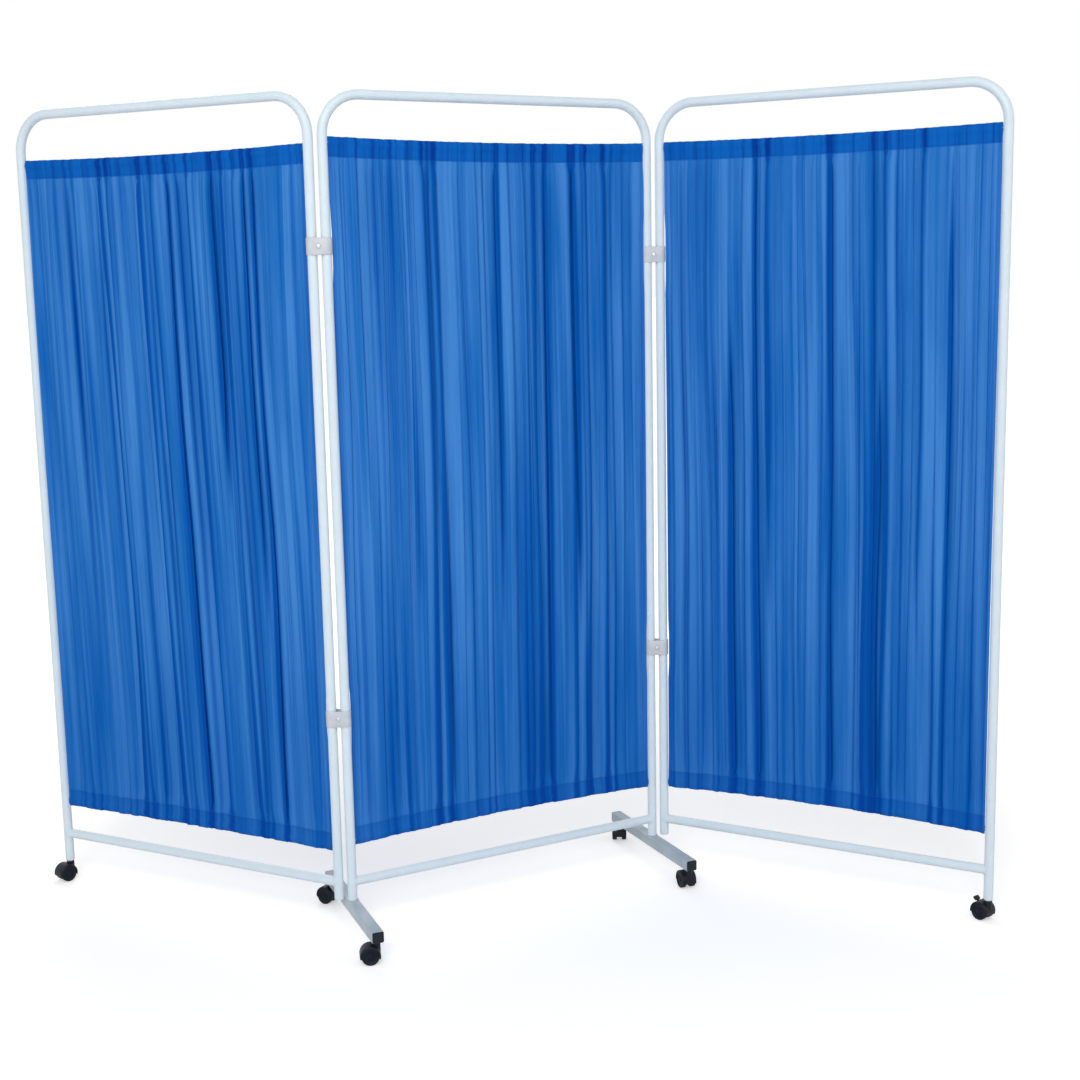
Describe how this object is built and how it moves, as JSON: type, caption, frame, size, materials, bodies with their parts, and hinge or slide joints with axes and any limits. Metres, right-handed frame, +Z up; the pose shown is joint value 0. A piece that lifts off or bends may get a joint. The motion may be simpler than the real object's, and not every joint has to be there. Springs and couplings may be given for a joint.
{
  "type": "folding ward privacy screen",
  "caption": "Folding privacy screen of round-tube panels joined by hinge clamps, with gathered cloth curtains, low feet and twin-wheel castors.",
  "frame": {"origin": "middle of the bounding box on the floor, close to the middle of the centre panel", "axes": "+X along the centre panel towards the right one, +Y to the back, where the left panel is folded, +Z up"},
  "size_m": [1.6612, 1.3058, 1.72],
  "materials": {
    "white_tube": "white powder coat, semi-gloss",
    "grey_bar": "pale grey powder coat, satin",
    "curtain_cloth": "blue plain-weave polyester cotton, gathered",
    "end_cap": "black moulded plastic",
    "hinge_clamp": "light grey moulded plastic",
    "rivet": "plated steel",
    "curtain_rod": "drawn steel wire",
    "plated_steel": "zinc plated",
    "castor_wheel": "black moulded wheel with a satin tread",
    "castor_body": "black moulded nylon, slight gloss"
  },
  "bodies": {
    "center_panel": {"center_frame": "white_tube", "center_rail": "white_tube", "center_top_rod": "curtain_rod", "center_bottom_rod": "curtain_rod", "center_curtain": "curtain_cloth", "left_foot": "grey_bar", "left_foot_front_cap": "end_cap", "left_foot_rear_cap": "end_cap", "left_foot_front_castor_stem": "plated_steel", "left_foot_rear_castor_stem": "plated_steel", "right_foot": "grey_bar", "right_foot_front_cap": "end_cap", "right_foot_rear_cap": "end_cap", "right_foot_front_castor_stem": "plated_steel", "right_foot_rear_castor_stem": "plated_steel"},
    "left_hinge": {"left_upper_clamp": "hinge_clamp", "left_upper_clamp_rivet": "rivet", "left_lower_clamp": "hinge_clamp", "left_lower_clamp_rivet": "rivet"},
    "left_panel": {"left_frame": "white_tube", "left_rail": "white_tube", "left_top_rod": "curtain_rod", "left_bottom_rod": "curtain_rod", "left_curtain": "curtain_cloth", "left_outer_castor_stem": "plated_steel"},
    "right_hinge": {"right_upper_clamp": "hinge_clamp", "right_upper_clamp_rivet": "rivet", "right_lower_clamp": "hinge_clamp", "right_lower_clamp_rivet": "rivet"},
    "right_panel": {"right_frame": "white_tube", "right_rail": "white_tube", "right_top_rod": "curtain_rod", "right_bottom_rod": "curtain_rod", "right_curtain": "curtain_cloth", "right_outer_castor_stem": "plated_steel"},
    "left_outer_castor": {"left_outer_castor_body": "castor_body", "left_outer_castor_axle": "plated_steel"},
    "left_outer_wheel_a": {"left_outer_castor_wheel_a": "castor_wheel"},
    "left_outer_wheel_b": {"left_outer_castor_wheel_b": "castor_wheel"},
    "right_outer_castor": {"right_outer_castor_body": "castor_body", "right_outer_castor_axle": "plated_steel"},
    "right_outer_wheel_a": {"right_outer_castor_wheel_a": "castor_wheel"},
    "right_outer_wheel_b": {"right_outer_castor_wheel_b": "castor_wheel"},
    "left_foot_front_castor": {"left_foot_front_castor_body": "castor_body", "left_foot_front_castor_axle": "plated_steel"},
    "left_foot_front_wheel_a": {"left_foot_front_castor_wheel_a": "castor_wheel"},
    "left_foot_front_wheel_b": {"left_foot_front_castor_wheel_b": "castor_wheel"},
    "left_foot_rear_castor": {"left_foot_rear_castor_body": "castor_body", "left_foot_rear_castor_axle": "plated_steel"},
    "left_foot_rear_wheel_a": {"left_foot_rear_castor_wheel_a": "castor_wheel"},
    "left_foot_rear_wheel_b": {"left_foot_rear_castor_wheel_b": "castor_wheel"},
    "right_foot_front_castor": {"right_foot_front_castor_body": "castor_body", "right_foot_front_castor_axle": "plated_steel"},
    "right_foot_front_wheel_a": {"right_foot_front_castor_wheel_a": "castor_wheel"},
    "right_foot_front_wheel_b": {"right_foot_front_castor_wheel_b": "castor_wheel"},
    "right_foot_rear_castor": {"right_foot_rear_castor_body": "castor_body", "right_foot_rear_castor_axle": "plated_steel"},
    "right_foot_rear_wheel_a": {"right_foot_rear_castor_wheel_a": "castor_wheel"},
    "right_foot_rear_wheel_b": {"right_foot_rear_castor_wheel_b": "castor_wheel"},
    "brake_pedal": {"right_outer_brake_pedal": "castor_body"}
  },
  "joints": [
    {"name": "left_hinge_fold", "type": "hinge", "parent": "center_panel", "child": "left_hinge", "pos_m": [-0.35158, 0.00367, 1], "axis": [0, 0, -1], "range_deg": [-108, 52]},
    {"name": "left_panel_fold", "type": "hinge", "parent": "left_hinge", "child": "left_panel", "pos_m": [-0.37631, 0.01681, 1], "axis": [0, 0, -1], "range_deg": [-108, 52]},
    {"name": "right_hinge_fold", "type": "hinge", "parent": "center_panel", "child": "right_hinge", "pos_m": [0.39342, 0.00367, 1], "axis": [0, 0, -1], "range_deg": [-109, 51]},
    {"name": "right_panel_fold", "type": "hinge", "parent": "right_hinge", "child": "right_panel", "pos_m": [0.4179, -0.00991, 1], "axis": [0, 0, -1], "range_deg": [-109, 51]},
    {"name": "left_outer_swivel", "type": "hinge", "parent": "left_panel", "child": "left_outer_castor", "pos_m": [-0.79291, 0.63445, 0.04], "axis": [0, 0, 1], "continuous": true},
    {"name": "left_outer_wheel_a_roll", "type": "hinge", "parent": "left_outer_castor", "child": "left_outer_wheel_a", "pos_m": [-0.80534, 0.63065, 0.018], "axis": [0.2924, -0.9563, 0], "continuous": true},
    {"name": "left_outer_wheel_b_roll", "type": "hinge", "parent": "left_outer_castor", "child": "left_outer_wheel_b", "pos_m": [-0.80534, 0.63065, 0.018], "axis": [0.2924, -0.9563, 0], "continuous": true},
    {"name": "right_outer_swivel", "type": "hinge", "parent": "right_panel", "child": "right_outer_castor", "pos_m": [0.81269, -0.6417, 0.04], "axis": [0, 0, 1], "continuous": true},
    {"name": "right_outer_wheel_a_roll", "type": "hinge", "parent": "right_outer_castor", "child": "right_outer_wheel_a", "pos_m": [0.81044, -0.6289, 0.018], "axis": [-0.9848, -0.1736, 0], "continuous": true},
    {"name": "right_outer_wheel_b_roll", "type": "hinge", "parent": "right_outer_castor", "child": "right_outer_wheel_b", "pos_m": [0.81044, -0.6289, 0.018], "axis": [-0.9848, -0.1736, 0], "continuous": true},
    {"name": "left_foot_front_swivel", "type": "hinge", "parent": "center_panel", "child": "left_foot_front_castor", "pos_m": [-0.37243, -0.16606, 0.04], "axis": [0, 0, 1], "continuous": true},
    {"name": "left_foot_front_wheel_a_roll", "type": "hinge", "parent": "left_foot_front_castor", "child": "left_foot_front_wheel_a", "pos_m": [-0.38464, -0.16161, 0.018], "axis": [-0.342, -0.9397, 0], "continuous": true},
    {"name": "left_foot_front_wheel_b_roll", "type": "hinge", "parent": "left_foot_front_castor", "child": "left_foot_front_wheel_b", "pos_m": [-0.38464, -0.16161, 0.018], "axis": [-0.342, -0.9397, 0], "continuous": true},
    {"name": "left_foot_rear_swivel", "type": "hinge", "parent": "center_panel", "child": "left_foot_rear_castor", "pos_m": [-0.33075, 0.17339, 0.04], "axis": [0, 0, 1], "continuous": true},
    {"name": "left_foot_rear_wheel_a_roll", "type": "hinge", "parent": "left_foot_rear_castor", "child": "left_foot_rear_wheel_a", "pos_m": [-0.33725, 0.18465, 0.018], "axis": [-0.866, -0.5, 0], "continuous": true},
    {"name": "left_foot_rear_wheel_b_roll", "type": "hinge", "parent": "left_foot_rear_castor", "child": "left_foot_rear_wheel_b", "pos_m": [-0.33725, 0.18465, 0.018], "axis": [-0.866, -0.5, 0], "continuous": true},
    {"name": "right_foot_front_swivel", "type": "hinge", "parent": "center_panel", "child": "right_foot_front_castor", "pos_m": [0.37851, -0.16668, 0.04], "axis": [0, 0, 1], "continuous": true},
    {"name": "right_foot_front_wheel_a_roll", "type": "hinge", "parent": "right_foot_front_castor", "child": "right_foot_front_wheel_a", "pos_m": [0.38077, -0.15388, 0.018], "axis": [-0.9848, 0.1736, 0], "continuous": true},
    {"name": "right_foot_front_wheel_b_roll", "type": "hinge", "parent": "right_foot_front_castor", "child": "right_foot_front_wheel_b", "pos_m": [0.38077, -0.15388, 0.018], "axis": [-0.9848, 0.1736, 0], "continuous": true},
    {"name": "right_foot_rear_swivel", "type": "hinge", "parent": "center_panel", "child": "right_foot_rear_castor", "pos_m": [0.40832, 0.17402, 0.04], "axis": [0, 0, 1], "continuous": true},
    {"name": "right_foot_rear_wheel_a_roll", "type": "hinge", "parent": "right_foot_rear_castor", "child": "right_foot_rear_wheel_a", "pos_m": [0.41482, 0.18527, 0.018], "axis": [-0.866, 0.5, 0], "continuous": true},
    {"name": "right_foot_rear_wheel_b_roll", "type": "hinge", "parent": "right_foot_rear_castor", "child": "right_foot_rear_wheel_b", "pos_m": [0.41482, 0.18527, 0.018], "axis": [-0.866, 0.5, 0], "continuous": true},
    {"name": "brake_pedal_press", "type": "hinge", "parent": "right_outer_castor", "child": "brake_pedal", "pos_m": [0.80915, -0.6216, 0.02987], "axis": [-0.9848, -0.1736, 0], "range_deg": [0, 12]}
  ]
}
